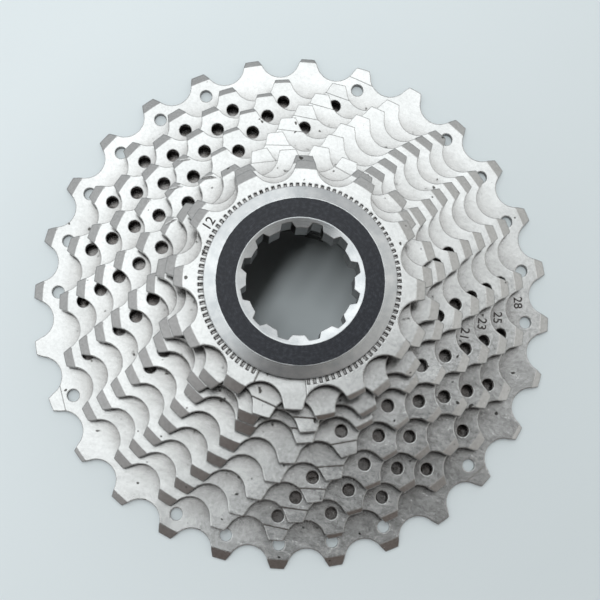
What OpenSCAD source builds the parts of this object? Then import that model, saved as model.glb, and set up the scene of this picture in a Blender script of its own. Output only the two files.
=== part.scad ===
// Ten-speed bicycle cassette, lying on its largest sprocket.
// Z is the cassette's axis. The origin is the centre of the back face, which meets the hub.

/* [Chain and stack] */
// Chain pitch, the distance between two rollers
chain_pitch = 12.7; // [12.7:0.1:15.3]
// Radius of the round seat between two teeth
seat_r = 4.4; // [3.6:0.05:4.6]
// Distance from the pitch circle in to the bottom of a seat
seat_depth = 3.8; // [3.6:0.05:4.1]
// Half angle of the round part of a seat
seat_half_angle = 70; // [64:1:74]
// Slope of a tooth flank from the radial direction
flank_angle = 32; // [30:1:36]
// Height of a tooth tip above the pitch circle
tip_rise = 0.6; // [0.3:0.05:1]
// Thickness of a sprocket plate
plate_t = 1.6; // [1.2:0.05:2]
// Gap between two neighbouring sprockets
spacer_t = 2.35; // [1.8:0.05:3.2]

/* [Teeth] */
// Radial length of the longest bevels at the tooth tips
tip_bevel = 2; // [1.4:0.1:2.3]
// Radial length of the shortest bevels, next to a thinned tooth
tip_bevel_min = 0.9; // [0.4:0.1:1.2]
// How much longer each bevel is than the one before
tip_bevel_step = 0.5; // [0.2:0.05:0.7]
// Slope of the tip bevels below the face of the plate
tip_slope = 27; // [18:1:32]
// Distance that a corner bevel reaches in from the tooth tip
corner_bevel = 2.2; // [1.2:0.1:2.6]
// Width of the slanted bevel on a shifting tooth
shift_bevel = 2.6; // [1.5:0.1:3.2]
// Depth to which the face of a thinned tooth is set back
thin_step = 0.45; // [0.2:0.05:0.7]
// Diameter of the small holes under the teeth
hole_d = 2.7; // [1.5:0.1:3.2]
// Distance from the pitch circle in to the centre of the holes
hole_inset = 4.7; // [4.6:0.1:5.6]

/* [Hub spline] */
// Diameter of the splined bore between its tabs
bore_d = 35.1; // [29:0.1:35.8]
// Height of the tabs
tab_h = 1.05; // [0.8:0.05:1.3]
// Number of spline positions around the bore
spline_count = 9; // [9:1:9]
// Width of a tab
tab_w = 6.4; // [5:0.1:7]
// Width of the one narrow tab that sets the angle
key_tab_w = 4.2; // [3:0.1:5]

/* [Spacers and rivets] */
// Wall of the resin spacers inside the riveted cluster, outside the rivets
cluster_spacer_wall = 1.7; // [0.8:0.1:2]
// Wall of the collars and of the spacer under the loose sprockets
loose_spacer_wall = 2.2; // [1.6:0.1:2.4]
// Number of rivets that hold the cluster together
rivet_count = 3; // [2:1:5]
// Diameter of a rivet shank
rivet_d = 3; // [2:0.1:3.6]
// Gap between the rivet heads and the spacer above them
rivet_head_gap = 0.2; // [0.1:0.05:0.4]
// How far a rivet head overhangs its shank
rivet_head_lip = 0.5; // [0.3:0.05:0.6]
// Height of a rivet head above the plate
rivet_head_h = 0.5; // [0.3:0.05:0.8]
// Clearance around a rivet in its holes
rivet_clearance = 0.05; // [0.02:0.01:0.15]

/* [Lockring] */
// Distance from the tips of the tabs in to the lockring thread, the wall of the hub
hub_wall = 1.2; // [1:0.05:1.6]
// Pitch of the lockring thread
thread_pitch = 1; // [0.8:0.05:1.3]
// Number of thread turns
thread_turns = 6; // [4:1:8]
// How far the lockring flange reaches past the splined bore
flange_overlap = 1.55; // [1.2:0.05:1.8]
// Thickness of the lockring flange
flange_t = 2.3; // [1.8:0.1:3]
// Height of the upright edge of the flange
flange_edge = 1.6; // [0.6:0.1:1.7]
// Width of the sloping rim of the flange
rim_w = 2.4; // [1.6:0.1:3]
// Width of the bevel between the flat top of the flange and the tool notches
socket_rim = 0.7; // [0.4:0.05:1]
// Wall of the lockring barrel under the thread
barrel_wall = 1.5; // [1:0.05:1.8]
// Ledge between the barrel bore and the tool notches
tool_ledge = 1.3; // [1:0.05:1.8]
// Depth of a tool notch
notch_depth = 1.2; // [0.8:0.05:1.6]
// Width of a tool notch at its bottom
notch_w = 2; // [1.6:0.1:2.4]
// How much wider a notch is at its mouth, on each side
notch_flare = 0.55; // [0:0.05:0.8]
// Drop of the bevelled face from the flat top of the flange to the ends of the tool lobes
socket_bevel = 0.8; // [0.4:0.1:2]
// Number of tool notches
notch_count = 12; // [8:1:16]
// Depth of the toothed part of the tool socket
socket_depth = 8; // [5:0.5:9]
// Thickness of the washer under the flange
washer_t = 0.5; // [0.3:0.05:1]
// Distance from the edge of the flange in to the washer
washer_inset = 1.1; // [0.8:0.1:2]
// Clearance between the washer and the lockring thread
washer_clearance = 0.1; // [0.05:0.05:0.4]
// Number of grooves on the outer face of the smallest sprocket
groove_count = 100; // [60:1:120]
// Width of a groove
groove_w = 0.6; // [0.4:0.05:0.8]
// Depth of a groove
groove_depth = 0.35; // [0.2:0.05:0.5]
// How far the grooves reach in under the flange
groove_cover = 0.8; // [0.4:0.1:1]
// How far the grooves reach out past the flange
groove_reach = 1.1; // [0.6:0.1:1.2]

/* [Hidden] */
$fn = 96;

// Row fields: tooth count, angle of the first tooth, slanted shifting teeth, thinned teeth,
// and the teeth that have no hole under them.
// Teeth are numbered anticlockwise from the first, starting at 0.
sprockets = [
    [12, 13.75, [], [9], [0 : 11]],
    [13, 21.25, [], [9], [0 : 12]],
    [14, 8.0, [4], [3, 11], [0 : 13]],
    [15, 1.5, [4], [5, 12], [0 : 14]],
    [17, 8.2, [4, 13], [5, 14], [2, 3, 4, 5, 6, 11, 12, 13]],
    [19, 14.3, [4, 14], [5, 15], [2, 3, 4, 5, 12, 13, 14, 15]],
    [21, 0.8, [5, 16], [6, 17], [2, 3, 4, 5, 13, 14, 15, 16]],
    [23, 5.3, [5, 17], [6, 18], [2, 3, 4, 5, 6, 13, 14, 15, 16, 17, 21]],
    [25, 8.8, [5, 18], [6, 19], [2, 3, 4, 5, 15, 16, 17, 18]],
    [28, 0.4, [6, 16, 25], [7, 17, 26], [0, 6, 8, 9, 16, 18, 19, 25, 27]]
];
// Stretches around the cassette, as pairs of angles, where tooth tips have a corner bevel
corner_stretches = [[5, 45], [145, 215], [250, 290]];
// Stretch of the smallest sprocket whose face is set back, grooves and all
relief_from = 262;
relief_to = 290;
last = len(sprockets) - 1;
loose_count = 3;
stack_pitch = plate_t + spacer_t;
eps = 0.01;

function pitch_r(teeth) = chain_pitch / 2 / sin(180 / teeth);
function tip_r(teeth) = pitch_r(teeth) + tip_rise;
function level(i) = (last - i) * stack_pitch;
function tooth_angle(i, k) = sprockets[i][1] + k * 360 / sprockets[i][0];
function listed(k, list) = len([for (entry = list) if (entry == k) entry]) > 0;
function in_corner_stretch(angle) =
    len([for (s = corner_stretches) if (angle % 360 > s[0] && angle % 360 < s[1]) s]) > 0;
// Number of teeth from the last thinned tooth to tooth k, going anticlockwise
function since_thinned(i, k) =
    min([for (thinned = sprockets[i][3]) (k - thinned + sprockets[i][0]) % sprockets[i][0]]);
function bevel_length(i, k) =
    min(tip_bevel, tip_bevel_min + (since_thinned(i, k) - 1) * tip_bevel_step);

thread_depth = thread_pitch * 0.6;
bore_r = bore_d / 2;
tab_r = bore_r - tab_h;
thread_r = tab_r - hub_wall;
flange_r = bore_r + flange_overlap;
barrel_bore_r = thread_r - thread_depth - barrel_wall;
tool_r = barrel_bore_r - tool_ledge;
lobe_r = tool_r - notch_depth;
loose_spacer_r = bore_r + loose_spacer_wall;
rivet_head_r = rivet_d / 2 + rivet_head_lip;
rivet_circle_r = loose_spacer_r + rivet_head_gap + rivet_head_r;
cluster_spacer_r = rivet_circle_r + rivet_d / 2 + rivet_clearance + cluster_spacer_wall;

top_face = level(0) + plate_t;
flange_bottom = top_face + washer_t;
flange_top = flange_bottom + flange_t;
thread_length = thread_pitch * thread_turns;
barrel_length = washer_t + thread_length + thread_pitch;
steel = "gainsboro";

// One roller seat and the flanks that open outwards from it, at the +X side of a sprocket
module roller_gap(teeth) {
    overlap = seat_r * sin(flank_angle + seat_half_angle - 90);
    start_x = -seat_r * cos(seat_half_angle) - overlap * cos(flank_angle);
    start_y = seat_r * sin(seat_half_angle) - overlap * sin(flank_angle);
    mouth_x = 2 * tip_rise + 1;
    mouth_y = start_y + (mouth_x - start_x) * tan(flank_angle);
    translate([pitch_r(teeth) - seat_depth + seat_r, 0]) {
        circle(r = seat_r);
        polygon([[start_x, -start_y], [mouth_x, -mouth_y], [mouth_x, mouth_y], [start_x, start_y]]);
    }
}

// The splined opening that slides over the hub
module spline_outline() {
    difference() {
        circle(r = bore_r);
        for (k = [0 : spline_count - 1])
            rotate(90 + k * 360 / spline_count)
                tab_outline(k == 0 ? key_tab_w : tab_w);
    }
}

// One tab of the bore, on the +X side, from the tab circle outwards
module tab_outline(w) {
    difference() {
        translate([0, -w / 2]) square([bore_d, w]);
        circle(r = tab_r);
    }
}

module sprocket_outline(i) {
    teeth = sprockets[i][0];
    difference() {
        circle(r = tip_r(teeth), $fn = 180);
        for (k = [0 : teeth - 1])
            rotate(tooth_angle(i, k + 0.5)) roller_gap(teeth);
        spline_outline();
        for (k = [0 : teeth - 1])
            if (!listed(k, sprockets[i][4]))
                rotate(tooth_angle(i, k)) translate([pitch_r(teeth) - hole_inset, 0]) circle(d = hole_d);
    }
}

// Cuts the bevel at the tip of tooth k: a stretch of a cone, clear of the neighbouring teeth
module tip_cut(i, k) {
    teeth = sprockets[i][0];
    stretch = 0.8 * 360 / teeth;
    inner_r = tip_r(teeth) - bevel_length(i, k);
    outer_r = tip_r(teeth) + 1;
    rotate(-stretch / 2)
        rotate_extrude(angle = stretch, $fn = 180)
            polygon([
                [inner_r, plate_t], [outer_r, plate_t - (outer_r - inner_r) * tan(tip_slope)],
                [outer_r, 2 * plate_t], [inner_r, 2 * plate_t]
            ]);
}

// Steeper bevel across the clockwise corner of a tooth tip
module corner_cut(i) {
    translate([tip_r(sprockets[i][0]) - corner_bevel, -tip_bevel, plate_t])
        rotate([0, 0, 50]) rotate([-38, 12, 0])
            translate([-3 * corner_bevel, -2 * corner_bevel, 0])
                cube([6 * corner_bevel, 2 * corner_bevel, 2 * plate_t]);
}

// Wide bevel that slants down across a shifting tooth towards its clockwise side
module shift_cut(i) {
    translate([tip_r(sprockets[i][0]), shift_bevel / 2, plate_t])
        rotate([0, 0, 28]) rotate([-32, 0, 0])
            translate([-4 * shift_bevel, -2 * shift_bevel, 0])
                cube([6 * shift_bevel, 2 * shift_bevel, 2 * plate_t]);
}

// Set-back face of a thinned tooth
module thin_cut(i) {
    translate([pitch_r(sprockets[i][0]) - seat_depth + 0.6, -chain_pitch / 2, plate_t - thin_step])
        rotate([0, 0, -8]) cube([chain_pitch, chain_pitch, plate_t]);
}

module tooth_cuts(i) {
    for (k = [0 : sprockets[i][0] - 1])
        rotate(tooth_angle(i, k)) {
            if (listed(k, sprockets[i][2])) {
                shift_cut(i);
            } else if (listed(k, sprockets[i][3])) {
                thin_cut(i);
            } else {
                tip_cut(i, k);
                if (in_corner_stretch(tooth_angle(i, k))) corner_cut(i);
            }
        }
}

module sprocket_plate(i) {
    translate([0, 0, level(i)])
        difference() {
            linear_extrude(plate_t) sprocket_outline(i);
            tooth_cuts(i);
        }
}

// Plate of the riveted cluster, with its rivet holes
module cluster_sprocket(i) {
    color(steel)
        difference() {
            sprocket_plate(i);
            rivet_holes(level(i), plate_t);
        }
}

// Plate with a collar behind it that keeps it clear of the next sprocket
module collared_sprocket(i) {
    color(steel) {
        sprocket_plate(i);
        translate([0, 0, level(i) - spacer_t]) spacer_ring(loose_spacer_r, spacer_t);
    }
}

module spacer_ring(outer_r, height) {
    linear_extrude(height)
        difference() {
            circle(r = outer_r);
            spline_outline();
        }
}

module at_rivets() {
    for (k = [0 : rivet_count - 1])
        rotate(30 + k * 360 / rivet_count) translate([rivet_circle_r, 0, 0]) children();
}

module rivet_holes(z, height) {
    translate([0, 0, z - eps])
        at_rivets() cylinder(d = rivet_d + 2 * rivet_clearance, h = height + 2 * eps);
}

// Resin spacer between sprocket i and the larger one behind it
module cluster_spacer(i) {
    color("dimgray")
        difference() {
            translate([0, 0, level(i) - spacer_t]) spacer_ring(cluster_spacer_r, spacer_t);
            rivet_holes(level(i) - spacer_t, spacer_t);
        }
}

module cluster_rivets() {
    color("silver")
        at_rivets() {
            cylinder(d = rivet_d, h = level(loose_count) + plate_t);
            translate([0, 0, level(loose_count) + plate_t]) cylinder(r = rivet_head_r, h = rivet_head_h);
        }
}

// Radial grooves that stop the lockring from working loose
module face_grooves() {
    for (k = [0 : groove_count - 1])
        rotate(k * 360 / groove_count)
            translate([flange_r - groove_cover, -groove_w / 2, top_face - groove_depth])
                cube([groove_cover + groove_reach, groove_w, 2 * groove_depth]);
}

// Stretch of the face that is set back by more than the grooves
module face_relief() {
    rotate(relief_from)
        rotate_extrude(angle = relief_to - relief_from, $fn = 180)
            translate([flange_r - groove_cover, top_face - thin_step])
                square([chain_pitch, plate_t]);
}

module sprocket_12t() {
    difference() {
        collared_sprocket(0);
        face_grooves();
        face_relief();
    }
}

module sprocket_13t() { collared_sprocket(1); }

module sprocket_14t() { color(steel) sprocket_plate(2); }

module spacer_14_15() {
    color("dimgray") translate([0, 0, level(2) - spacer_t]) spacer_ring(loose_spacer_r, spacer_t);
}

module tool_outline() {
    circle(r = lobe_r);
    intersection() {
        circle(r = tool_r);
        for (k = [0 : notch_count - 1])
            rotate(90 + k * 360 / notch_count) notch_outline();
    }
}

// One notch, on the +X side, from inside the opening outwards
module notch_outline() {
    inner_x = lobe_r - 1;
    slope = notch_flare / notch_depth;
    mouth_w = notch_w / 2 + slope * (tool_r - inner_x);
    polygon([
        [inner_x, -mouth_w], [tool_r, -notch_w / 2], [2 * tool_r, -notch_w / 2],
        [2 * tool_r, notch_w / 2], [tool_r, notch_w / 2], [inner_x, mouth_w]
    ]);
}

// Half section of the lockring: flange, chamfers and threaded barrel
module lockring_section() {
    turns = [for (t = [0 : thread_turns - 1]) each [
        [thread_r, flange_bottom - washer_t - (t + 0.3) * thread_pitch],
        [thread_r - thread_depth, flange_bottom - washer_t - (t + 0.65) * thread_pitch],
        [thread_r, flange_bottom - washer_t - (t + 1) * thread_pitch]
    ]];
    polygon(concat(
        [[lobe_r - 1, flange_top - socket_bevel], [lobe_r - 1, flange_top - socket_depth],
         [barrel_bore_r, flange_top - socket_depth], [barrel_bore_r, flange_bottom - barrel_length],
         [thread_r - thread_depth, flange_bottom - barrel_length]],
        [for (t = [len(turns) - 1 : -1 : 0]) turns[t]],
        [[thread_r, flange_bottom], [flange_r, flange_bottom], [flange_r, flange_bottom + flange_edge],
         [flange_r - rim_w, flange_top], [tool_r + socket_rim, flange_top]]
    ));
}

module lockring() {
    color("silver")
        difference() {
            rotate_extrude() lockring_section();
            translate([0, 0, flange_top - socket_depth - eps]) linear_extrude(socket_depth + 1) tool_outline();
        }
}

module lockring_washer() {
    color("lightgray")
        translate([0, 0, top_face])
            linear_extrude(washer_t)
                difference() {
                    circle(r = flange_r - washer_inset);
                    circle(r = thread_r + washer_clearance);
                }
}

lockring();
lockring_washer();
sprocket_12t();
sprocket_13t();
sprocket_14t();
spacer_14_15();
cluster_sprocket(3);  // sprocket_15t
cluster_spacer(3);  // spacer_15_17
cluster_sprocket(4);  // sprocket_17t
cluster_spacer(4);  // spacer_17_19
cluster_sprocket(5);  // sprocket_19t
cluster_spacer(5);  // spacer_19_21
cluster_sprocket(6);  // sprocket_21t
cluster_spacer(6);  // spacer_21_23
cluster_sprocket(7);  // sprocket_23t
cluster_spacer(7);  // spacer_23_25
cluster_sprocket(8);  // sprocket_25t
cluster_spacer(8);  // spacer_25_28
cluster_sprocket(9);  // sprocket_28t
cluster_rivets();
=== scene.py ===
import math

import bpy
from mathutils import Euler, Matrix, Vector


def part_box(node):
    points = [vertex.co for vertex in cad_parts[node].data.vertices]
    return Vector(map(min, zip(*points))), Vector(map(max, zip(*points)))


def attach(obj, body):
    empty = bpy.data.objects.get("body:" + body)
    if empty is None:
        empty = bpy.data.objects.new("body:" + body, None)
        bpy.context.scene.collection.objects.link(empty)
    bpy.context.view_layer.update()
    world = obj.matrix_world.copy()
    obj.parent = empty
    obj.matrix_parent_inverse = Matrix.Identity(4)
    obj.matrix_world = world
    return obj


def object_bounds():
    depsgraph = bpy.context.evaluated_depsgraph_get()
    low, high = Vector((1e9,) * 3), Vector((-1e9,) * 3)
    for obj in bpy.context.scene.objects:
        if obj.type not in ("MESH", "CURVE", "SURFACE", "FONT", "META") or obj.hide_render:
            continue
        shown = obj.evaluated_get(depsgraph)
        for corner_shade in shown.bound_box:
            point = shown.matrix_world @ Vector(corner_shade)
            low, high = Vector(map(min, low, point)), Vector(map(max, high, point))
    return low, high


# Lengths are in metres in the CAD frame, unless a comment says mm: Z runs up the cassette's axis,
# and the largest sprocket lies on the floor. Angles are written in degrees.

MM = 0.001

SPROCKETS = ("12t", "13t", "14t", "15t", "17t", "19t", "21t", "23t", "25t", "28t")
LOOSE_SPACER = "spacer_14_15"
CLUSTER_SPACERS = (
    "spacer_15_17", "spacer_17_19", "spacer_19_21", "spacer_21_23", "spacer_23_25", "spacer_25_28",
)

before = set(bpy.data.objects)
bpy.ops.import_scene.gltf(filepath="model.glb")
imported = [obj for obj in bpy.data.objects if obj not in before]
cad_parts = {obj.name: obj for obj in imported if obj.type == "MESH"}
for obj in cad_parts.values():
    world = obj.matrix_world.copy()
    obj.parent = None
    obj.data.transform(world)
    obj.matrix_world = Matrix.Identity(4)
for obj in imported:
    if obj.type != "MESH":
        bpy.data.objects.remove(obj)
cad_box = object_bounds()


# Shader node helpers. A grey or a colour is a level from 0 to 1, or three of them.

SHADER_SAMPLES = 6


def principled(name):
    """New material, its Principled shader and its node tree."""
    mat = bpy.data.materials.new(name)
    mat.use_nodes = True
    tree = mat.node_tree
    return mat, tree.nodes["Principled BSDF"], tree


def link(tree, value, socket):
    """Joins a socket to value, or sets it to value if that is a number or a colour."""
    if isinstance(value, bpy.types.NodeSocket):
        tree.links.new(value, socket)
    elif isinstance(value, tuple) and len(value) == 3 and len(socket.default_value) == 4:
        socket.default_value = (*value, 1.0)
    else:
        socket.default_value = value


def ramp(tree, source, stops):
    """Colour ramp through stops of (place, grey or colour)."""
    made = tree.nodes.new("ShaderNodeValToRGB")
    elements = made.color_ramp.elements
    while len(elements) < len(stops):
        elements.new(0.5)
    for element, (place, colour) in zip(elements, stops):
        element.position = place
        if isinstance(colour, (int, float)):
            colour = (colour, colour, colour)
        element.color = (*colour, 1.0)
    tree.links.new(source, made.inputs["Fac"])
    return made.outputs["Color"]


def mix(tree, share, a, b, blend="MIX"):
    """Colour a, with b over it by share."""
    made = tree.nodes.new("ShaderNodeMix")
    made.data_type = "RGBA"
    made.blend_type = blend
    link(tree, share, made.inputs[0])
    link(tree, a, made.inputs[6])
    link(tree, b, made.inputs[7])
    return made.outputs[2]


def maths(tree, operation, a, b):
    made = tree.nodes.new("ShaderNodeMath")
    made.operation = operation
    link(tree, a, made.inputs[0])
    link(tree, b, made.inputs[1])
    return made.outputs[0]


def times(tree, first, *others):
    """Product of two or more values."""
    for other in others:
        first = maths(tree, "MULTIPLY", first, other)
    return first


def noise(tree, where, scale, detail, roughness):
    made = tree.nodes.new("ShaderNodeTexNoise")
    tree.links.new(where, made.inputs["Vector"])
    made.inputs["Scale"].default_value = scale
    made.inputs["Detail"].default_value = detail
    made.inputs["Roughness"].default_value = roughness
    return made.outputs["Fac"]


def object_place(tree, shift=(0.0, 0.0, 0.0), stretch=(1.0, 1.0, 1.0)):
    """Object coordinates in metres, shifted and stretched."""
    made = tree.nodes.new("ShaderNodeMapping")
    made.inputs["Location"].default_value = shift
    made.inputs["Scale"].default_value = stretch
    tree.links.new(tree.nodes.new("ShaderNodeTexCoord").outputs["Object"], made.inputs["Vector"])
    return made.outputs["Vector"]


def axes(tree, vector):
    """Outputs X, Y and Z of a vector."""
    split = tree.nodes.new("ShaderNodeSeparateXYZ")
    tree.links.new(vector, split.inputs[0])
    return split.outputs


def radius_and_height(tree):
    """Distance from the cassette's axis, and height, both in metres."""
    place = axes(tree, tree.nodes.new("ShaderNodeTexCoord").outputs["Object"])
    flat = tree.nodes.new("ShaderNodeCombineXYZ")
    tree.links.new(place["X"], flat.inputs["X"])
    tree.links.new(place["Y"], flat.inputs["Y"])
    length = tree.nodes.new("ShaderNodeVectorMath")
    length.operation = "LENGTH"
    tree.links.new(flat.outputs[0], length.inputs[0])
    return length.outputs["Value"], place["Z"]


def towards(tree, place, right, front):
    """How far a place lies in a level direction, right along +X and front along -Y."""
    across = times(tree, place["X"], right)
    return maths(tree, "SUBTRACT", across, times(tree, place["Y"], front))


def rounded_normal(tree, edge):
    """Face normal, with sharp edges rounded off by the radius edge."""
    made = tree.nodes.new("ShaderNodeBevel")
    made.samples = SHADER_SAMPLES
    made.inputs["Radius"].default_value = edge
    return made.outputs["Normal"]


def upward(tree, normal):
    """1 where a normal points up, 0 where it lies level."""
    return axes(tree, normal)["Z"]


def openness(tree, reach):
    """1 on open faces, towards 0 where other faces lie within reach."""
    made = tree.nodes.new("ShaderNodeAmbientOcclusion")
    made.samples = SHADER_SAMPLES
    made.inputs["Distance"].default_value = reach
    return made.outputs["AO"]


def bump(tree, height, strength, distance, normal=None):
    """Bumps from height, on top of normal if it is given."""
    made = tree.nodes.new("ShaderNodeBump")
    if normal:
        tree.links.new(normal, made.inputs["Normal"])
    made.inputs["Strength"].default_value = strength
    made.inputs["Distance"].default_value = distance
    tree.links.new(height, made.inputs["Height"])
    return made.outputs["Normal"]


# Nickel-plated steel of the sprockets

STEEL_EDGE = 0.36 * MM  # radius that a sharp edge seems to have
STEEL_RELIEF = 0.025 * MM
CORNER_REACH = 7.0 * MM  # faces closer together than this get painted shade and more pits
GRIME_AND_SHADE_EDGE = 0.6 * MM  # how far the grime and painted shade show past the piece that covers it
GRIME_AND_SHADE_FADE = 5.0 * MM
GRIME_AND_SHADE_SHARE = 0.35
PIT_SHARE = 0.85
CORNER_PITTING = 0.16
SEED_SHIFT = (0.37, 0.53, 0.11)
WAVE_HEIGHT, PATCH_HEIGHT, GRAIN_HEIGHT = 10.0, 1.2, 0.12  # shares of the relief
PLATING_DULL = (0.76, 0.77, 0.77)
PLATING_BRIGHT = (0.85, 0.86, 0.86)
PAINTED_WALL_SHADE = (0.26, 0.25, 0.235)
PAINTED_CORNER_SHADE = (0.045, 0.034, 0.034)
GRIME_AND_SHADE = (0.22, 0.19, 0.17)
WORN_STEEL = (0.50, 0.49, 0.48)
PIT = (0.03, 0.025, 0.02)


def with_painted_shade_and_grime(tree, base, patch, corner_shade, covered_r):
    """Painted shade in holes and corners, and brown grime with painted shade close to the piece
    above.
    """
    corner_shade_blotches = ramp(tree, patch, ((0.35, 0.75), (0.60, 1.0)))
    # painted shade: a dark layer in holes and corners, where the occlusion mask says faces are near
    base = mix(tree, times(tree, corner_shade, corner_shade_blotches), base, PAINTED_CORNER_SHADE)
    radius = radius_and_height(tree)[0]
    # painted shade with grime: darker in the ring just under the piece above
    depth = maths(tree, "SUBTRACT", covered_r + GRIME_AND_SHADE_EDGE, radius)
    shade = ramp(tree, times(tree, depth, 1 / GRIME_AND_SHADE_FADE), ((0.0, 0.0), (0.4, 0.5), (1.0, 1.0)))
    grime_and_shade_blotches = ramp(tree, patch, ((0.35, 0.55), (0.65, 1.0)))
    return mix(tree, times(tree, shade, grime_and_shade_blotches, GRIME_AND_SHADE_SHARE), base, GRIME_AND_SHADE)


def with_wear(tree, base, where, patch, corner_shade):
    """Worn patches, and small pits that are more frequent in corners."""
    base = mix(tree, ramp(tree, patch, ((0.60, 0.0), (0.80, 0.30))), base, WORN_STEEL)
    speckle = noise(tree, where, scale=620, detail=1, roughness=0.4)
    spots = maths(tree, "ADD", speckle, times(tree, corner_shade, CORNER_PITTING))
    pits = ramp(tree, spots, ((0.755, 0.0), (0.775, 1.0)))
    return mix(tree, times(tree, pits, PIT_SHARE), base, PIT)


def nickel_steel(name, seed, covered_r):
    """Wavy plated face with painted shade on its walls and bevels; the piece above covers it out to
    covered_r.
    """
    mat, shader, tree = principled(name)
    where = object_place(tree, tuple(seed * shift for shift in SEED_SHIFT))
    wave = noise(tree, where, scale=75, detail=2, roughness=0.5)
    patch = noise(tree, where, scale=190, detail=4, roughness=0.6)
    grain = noise(tree, where, scale=1500, detail=2, roughness=0.6)
    normal = rounded_normal(tree, STEEL_EDGE)
    # mask of painted shade in holes and corners, from ambient occlusion
    corner_shade = ramp(tree, openness(tree, CORNER_REACH), ((0.30, 0.97), (0.45, 0.45), (0.60, 0.0)))

    base = ramp(tree, wave, ((0.35, PLATING_DULL), (0.65, PLATING_BRIGHT)))
    base = mix(tree, 1.0, base, ramp(tree, grain, ((0.30, 0.89), (0.62, 1.0))), "MULTIPLY")
    # painted shade: walls and rounded edges darker than the level faces
    wall_shade = ramp(tree, upward(tree, normal), ((0.2, 0.75), (0.7, 0.65), (0.96, 0.0)))
    base = mix(tree, wall_shade, base, PAINTED_WALL_SHADE)
    base = with_painted_shade_and_grime(tree, base, patch, corner_shade, covered_r)
    base = with_wear(tree, base, where, patch, corner_shade)
    tree.links.new(base, shader.inputs["Base Color"])
    shader.inputs["Metallic"].default_value = 1.0

    streaks = object_place(tree, shift=(seed, 0, 0), stretch=(1, 3, 1))
    scuffs = noise(tree, streaks, scale=320, detail=3, roughness=0.7)
    fine = ramp(tree, grain, ((0.3, 0.18), (0.7, 0.26)))
    rubbed = ramp(tree, scuffs, ((0.4, 0.17), (0.7, 0.32)))
    tree.links.new(mix(tree, 0.5, fine, rubbed), shader.inputs["Roughness"])

    waves = times(tree, wave, WAVE_HEIGHT)
    relief = maths(tree, "ADD", waves, times(tree, patch, PATCH_HEIGHT))
    relief = maths(tree, "ADD", relief, times(tree, grain, GRAIN_HEIGHT))
    relief = bump(tree, relief, strength=0.5, distance=STEEL_RELIEF, normal=normal)
    tree.links.new(relief, shader.inputs["Normal"])
    return mat


# Turned alloy of the lockring, the washer and the rivets

ALLOY_EDGE = 0.24 * MM
ALLOY_RELIEF = 0.004 * MM
RING_SCALE = 5200
RING_HEIGHT = 0.3  # share of the relief
ALLOY_DULL = (0.62, 0.65, 0.67)
ALLOY_BRIGHT = (0.80, 0.82, 0.83)
BAND_INNER_R = 12.75 * MM
BAND_OUTER_R = 16.62 * MM
BAND_CHIPS = 0.25 * MM
BAND_DEPTH = 0.02 * MM
BAND_BLACK = (0.004, 0.006, 0.012)
BAND_DUST = (0.030, 0.034, 0.045)
SOCKET_R = 13.0 * MM
SOCKET_EDGE = 0.1 * MM
SOCKET_PAINTED_SHADE = (0.07, 0.055, 0.05)
SOCKET_SHADE_SHARE = 0.85


def lathe_rings(tree):
    """Very fine rings around the axis, on level faces and on round walls."""
    radius, height = radius_and_height(tree)
    made = tree.nodes.new("ShaderNodeTexNoise")
    made.noise_dimensions = "1D"
    made.inputs["Scale"].default_value = RING_SCALE
    made.inputs["Detail"].default_value = 2.0
    tree.links.new(maths(tree, "ADD", radius, height), made.inputs["W"])
    return made.outputs["Fac"]


def turned_alloy(name):
    """Alloy material with its shader and tree, its colour and the scuffs that make the colour."""
    mat, shader, tree = principled(name)
    grain = noise(tree, object_place(tree), scale=900, detail=2, roughness=0.6)
    scuff = noise(tree, object_place(tree), scale=300, detail=4, roughness=0.7)
    rings = lathe_rings(tree)
    base = ramp(tree, scuff, ((0.35, ALLOY_DULL), (0.65, ALLOY_BRIGHT)))
    tree.links.new(base, shader.inputs["Base Color"])
    shader.inputs["Metallic"].default_value = 1.0
    tree.links.new(ramp(tree, rings, ((0.3, 0.27), (0.7, 0.31))), shader.inputs["Roughness"])
    relief = maths(tree, "ADD", times(tree, rings, RING_HEIGHT), grain)
    normal = rounded_normal(tree, ALLOY_EDGE)
    relief = bump(tree, relief, strength=0.2, distance=ALLOY_RELIEF, normal=normal)
    tree.links.new(relief, shader.inputs["Normal"])
    return mat, shader, tree, base, scuff


def bright_alloy(name):
    return turned_alloy(name)[0]


def black_band(tree, scuff, face_z):
    """1 on the ring of the top face that is painted, with chipped edges, and 0 elsewhere."""
    radius, height = radius_and_height(tree)
    ragged = times(tree, maths(tree, "SUBTRACT", scuff, 0.5), BAND_CHIPS)
    edge = maths(tree, "ADD", radius, ragged)
    inside = maths(tree, "LESS_THAN", edge, BAND_OUTER_R)
    outside = maths(tree, "GREATER_THAN", edge, BAND_INNER_R)
    top = maths(tree, "GREATER_THAN", height, face_z - BAND_DEPTH)
    return times(tree, inside, outside, top)


def socket_walls(tree):
    """1 on the upright walls of the tool socket, 0 elsewhere."""
    radius = radius_and_height(tree)[0]
    normal = rounded_normal(tree, SOCKET_EDGE)
    upright = ramp(tree, upward(tree, normal), ((0.1, 1.0), (0.5, 0.0)))
    return times(tree, maths(tree, "LESS_THAN", radius, SOCKET_R), upright)


def lockring_finish(face_z):
    """Turned alloy with a satin black band on the top face, and painted shade on the tool socket's
    walls.
    """
    mat, shader, tree, base, scuff = turned_alloy("lockring_alloy")
    # painted shade on the upright walls of the tool socket
    base = mix(tree, times(tree, socket_walls(tree), SOCKET_SHADE_SHARE), base, SOCKET_PAINTED_SHADE)
    band = black_band(tree, scuff, face_z)
    dust = noise(tree, object_place(tree, (0.2, 0.1, 0)), scale=1500, detail=2, roughness=0.5)
    black = ramp(tree, dust, ((0.45, BAND_BLACK), (0.80, BAND_DUST)))
    tree.links.new(mix(tree, band, base, black), shader.inputs["Base Color"])
    tree.links.new(maths(tree, "SUBTRACT", 1.0, band), shader.inputs["Metallic"])
    return mat


# Resin of the spacers

RESIN_RELIEF = 0.05 * MM
RESIN_BLACK = (0.030, 0.030, 0.032)
RESIN_GREY = (0.055, 0.054, 0.053)


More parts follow.
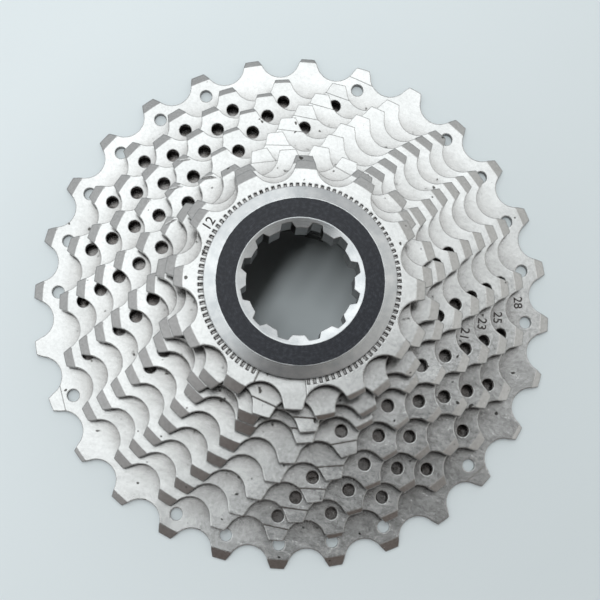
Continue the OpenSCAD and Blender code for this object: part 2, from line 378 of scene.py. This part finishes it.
def moulded_resin():
    """Matt black resin with short fibres."""
    mat, shader, tree = principled("spacer_resin")
    fibres = noise(tree, object_place(tree, stretch=(1, 1, 4)), scale=1100, detail=4, roughness=0.7)
    cloud = noise(tree, object_place(tree), scale=90, detail=2, roughness=0.5)
    base = ramp(tree, cloud, ((0.3, RESIN_BLACK), (0.7, RESIN_GREY)))
    tree.links.new(base, shader.inputs["Base Color"])
    tree.links.new(ramp(tree, fibres, ((0.3, 0.45), (0.7, 0.65))), shader.inputs["Roughness"])
    relief = bump(tree, fibres, strength=0.3, distance=RESIN_RELIEF)
    tree.links.new(relief, shader.inputs["Normal"])
    return mat


def dress(node, mat):
    """Gives a CAD node one material."""
    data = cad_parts[node].data
    data.materials.clear()
    data.materials.append(mat)


def finish_nodes():
    """Each sprocket has its own steel, with grime and painted shade where the next piece up the
    stack covers it.
    """
    for n, size in enumerate(SPROCKETS):
        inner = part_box("sprocket_" + SPROCKETS[n - 1])[1].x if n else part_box("lockring")[1].x
        dress("sprocket_" + size, nickel_steel("nickel_steel_" + size, n, inner))
    dress("lockring", lockring_finish(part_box("lockring")[1].z))
    dress("lockring_washer", bright_alloy("washer_alloy"))
    resin = moulded_resin()
    for node in (LOOSE_SPACER, *CLUSTER_SPACERS):
        dress(node, resin)
    dress("cluster_rivets", bright_alloy("rivet_steel"))


# Tooth counts on the faces: text, sprocket, distance from the axis in mm, angle

STAMPS = (
    ("12", "12t", 21.6, 163.6),
    ("21", "21t", 37.0, 5.6),
    ("23", "23t", 41.0, 10.4),
    ("25", "25t", 45.0, 13.4),
    ("28", "28t", 50.3, 18.2),
)

# A figure is drawn in mm and then scaled down.
FIGURE_SIZE = 2.7
FIGURE_BOLDNESS = 0.03
FIGURE_RISE = 0.012

INK_RELIEF = 0.01 * MM
INK_BLACK = (0.030, 0.026, 0.024)
INK_WORN = (0.20, 0.19, 0.18)


def stamp_ink():
    """Dark ink, worn through in places."""
    mat, shader, tree = principled("stamp_ink")
    rub = noise(tree, object_place(tree), scale=2600, detail=3, roughness=0.7)
    base = ramp(tree, rub, ((0.50, INK_BLACK), (0.85, INK_WORN)))
    tree.links.new(base, shader.inputs["Base Color"])
    tree.links.new(ramp(tree, rub, ((0.3, 0.45), (0.7, 0.7))), shader.inputs["Roughness"])
    relief = bump(tree, rub, strength=0.3, distance=INK_RELIEF)
    tree.links.new(relief, shader.inputs["Normal"])
    return mat


def figure_mesh(text):
    """Thin figures around the origin, drawn as a text curve and made into a mesh."""
    curve = bpy.data.curves.new("figures", "FONT")
    curve.body = text
    curve.size = FIGURE_SIZE
    curve.offset = FIGURE_BOLDNESS
    curve.extrude = FIGURE_RISE
    curve.align_x = "CENTER"
    curve.align_y = "CENTER"
    drawn = bpy.data.objects.new("figures", curve)
    bpy.context.scene.collection.objects.link(drawn)
    depsgraph = bpy.context.evaluated_depsgraph_get()
    mesh = bpy.data.meshes.new_from_object(drawn.evaluated_get(depsgraph))
    bpy.data.objects.remove(drawn)
    mesh.transform(Matrix.Diagonal((MM, MM, MM, 1.0)))
    return mesh


def stamp(text, sprocket, radius, angle, ink):
    """Figures on a sprocket's upper face, tops outwards."""
    mesh = figure_mesh(text)
    mesh.materials.clear()
    mesh.materials.append(ink)
    made = bpy.data.objects.new("tooth_count_" + text, mesh)
    bpy.context.scene.collection.objects.link(made)
    turn = math.radians(angle)
    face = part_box("sprocket_" + sprocket)[1].z
    made.location = (radius * MM * math.cos(turn), radius * MM * math.sin(turn), face)
    made.rotation_euler = (0, 0, turn - math.pi / 2)
    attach(made, "loose_12t" if sprocket == "12t" else "cluster")


def stamp_counts():
    ink = stamp_ink()
    for text, sprocket, radius, angle in STAMPS:
        stamp(text, sprocket, radius, angle, ink)


# Floor

FLOOR_SIZE = 12.0
FLOOR_DULL = (0.56, 0.615, 0.635)
FLOOR_PALE = (0.57, 0.62, 0.64)
FLOOR_ROUGHNESS = 0.7
GLOW_COLOUR = (0.88, 0.965, 1.0, 1.0)
GLOW_BY_RADIUS = ((0.018, 0.0), (0.05, 0.9), (0.075, 1.0))
GLOW_AT_AXIS = 0.15
GLOW_FADE = 0.9  # lost with each metre to the right and front
GLOW_LEAST = 0.08
GLOW_MOST = 0.22


def floor_glow(tree):
    """Strength of the painted glow: none inside the bore, and fading to the right and front."""
    glow = ramp(tree, radius_and_height(tree)[0], GLOW_BY_RADIUS)
    slope = towards(tree, axes(tree, object_place(tree)), right=0.87, front=0.46)
    fade = maths(tree, "SUBTRACT", GLOW_AT_AXIS, times(tree, slope, GLOW_FADE))
    fade = maths(tree, "MINIMUM", maths(tree, "MAXIMUM", fade, GLOW_LEAST), GLOW_MOST)
    return times(tree, glow, fade)


def floor_card():
    """Pale card that glows a little as painted light, so that shadows on it stay soft."""
    mat, shader, tree = principled("floor_card")
    cloud = noise(tree, object_place(tree), scale=6, detail=2, roughness=0.5)
    base = ramp(tree, cloud, ((0.3, FLOOR_DULL), (0.7, FLOOR_PALE)))
    tree.links.new(base, shader.inputs["Base Color"])
    shader.inputs["Roughness"].default_value = FLOOR_ROUGHNESS
    shader.inputs["Emission Color"].default_value = GLOW_COLOUR
    # painted light: the card glows though it is no lamp
    tree.links.new(floor_glow(tree), shader.inputs["Emission Strength"])
    return mat


def pale_floor(lo):
    bpy.ops.mesh.primitive_plane_add(size=FLOOR_SIZE, location=(0, 0, lo.z))
    floor = bpy.context.object
    floor.name = "floor"
    floor.data.materials.append(floor_card())


# Light

# Tones of the room by height, from the horizon at 0 to straight up at 1
ROOM_BY_HEIGHT = (
    (0.0, 0.10), (0.16, 0.20), (0.34, (0.52, 0.535, 0.54)), (0.60, 0.60), (0.80, 0.25), (1.0, 0.10),
)
ROOM_PALE = (0.66, 0.65, 0.62)
ROOM_PALE_SHARE = 0.6
ROOM_BROWN = (0.085, 0.062, 0.052)
ROOM_BROWN_SHARE = 0.9


def soft_light(name, place, turn, size, power, colour):
    """Area light that looks straight down, turned about the vertical."""
    data = bpy.data.lights.new(name, "AREA")
    data.shape = "RECTANGLE"
    data.size, data.size_y = size
    data.energy = power
    data.color = colour
    lamp = bpy.data.objects.new(name, data)
    bpy.context.scene.collection.objects.link(lamp)
    lamp.location = place
    lamp.rotation_euler = (0, 0, math.radians(turn))
    return lamp


def room():
    """Plain dim room: paler to the right, dark brown to the front."""
    world = bpy.data.worlds.new("room")
    world.use_nodes = True
    tree = world.node_tree
    view = axes(tree, tree.nodes.new("ShaderNodeTexCoord").outputs["Generated"])
    tone = ramp(tree, view["Z"], ROOM_BY_HEIGHT)
    side = ramp(tree, view["X"], ((0.10, 0.0), (0.6, 1.0)))
    tone = mix(tree, times(tree, side, ROOM_PALE_SHARE), tone, ROOM_PALE)
    front = ramp(tree, towards(tree, view, right=0.34, front=0.94), ((0.32, 0.0), (0.72, 1.0)))
    tone = mix(tree, times(tree, front, ROOM_BROWN_SHARE), tone, ROOM_BROWN)
    tree.links.new(tone, tree.nodes["Background"].inputs["Color"])
    bpy.context.scene.world = world


def studio():
    """Two softboxes, and a strip that makes the shadows but isn't mirrored in the metal."""
    room()
    soft_light(
        "softbox", place=(-0.373, 0.252, 1.0), turn=56,
        size=(1.2, 0.90), power=4.0, colour=(0.97, 1.0, 1.0),
    )
    soft_light(
        "side_softbox", place=(0.42, 0.46, 1.0), turn=15,
        size=(0.5, 0.6), power=0.5, colour=(0.98, 1.0, 1.0),
    )
    lamp = soft_light(
        "strip_lamp", place=(-0.113, 0.032, 1.0), turn=74,
        size=(0.45, 0.05), power=3.9, colour=(0.98, 1.0, 1.0),
    )
    lamp.visible_glossy = False
    bpy.context.scene.view_settings.view_transform = "Standard"


# Camera, above the middle of the object and a little to the front, looking down and slightly back

SENSOR_WIDTH = 36  # mm, as the lens is
LENS = 86.7
CAMERA_RIGHT = 0.9 * MM
CAMERA_FRONT = 45.5 * MM
CAMERA_HEIGHT = 319.5 * MM
CAMERA_TURN = (8.14, -2.475, 16.68)
CAMERA_NEAR = 0.01


def make_camera(lo, hi):
    data = bpy.data.cameras.new("camera")
    data.sensor_width = SENSOR_WIDTH
    data.lens = LENS
    data.clip_start = CAMERA_NEAR
    camera = bpy.data.objects.new("camera", data)
    bpy.context.scene.collection.objects.link(camera)
    centre = (lo + hi) / 2
    camera.location = (
        centre.x + CAMERA_RIGHT, centre.y - CAMERA_FRONT, lo.z + CAMERA_HEIGHT,
    )
    camera.rotation_euler = Euler([math.radians(angle) for angle in CAMERA_TURN])
    bpy.context.scene.camera = camera


finish_nodes()
stamp_counts()
make_camera(*cad_box)
pale_floor(cad_box[0])
studio()
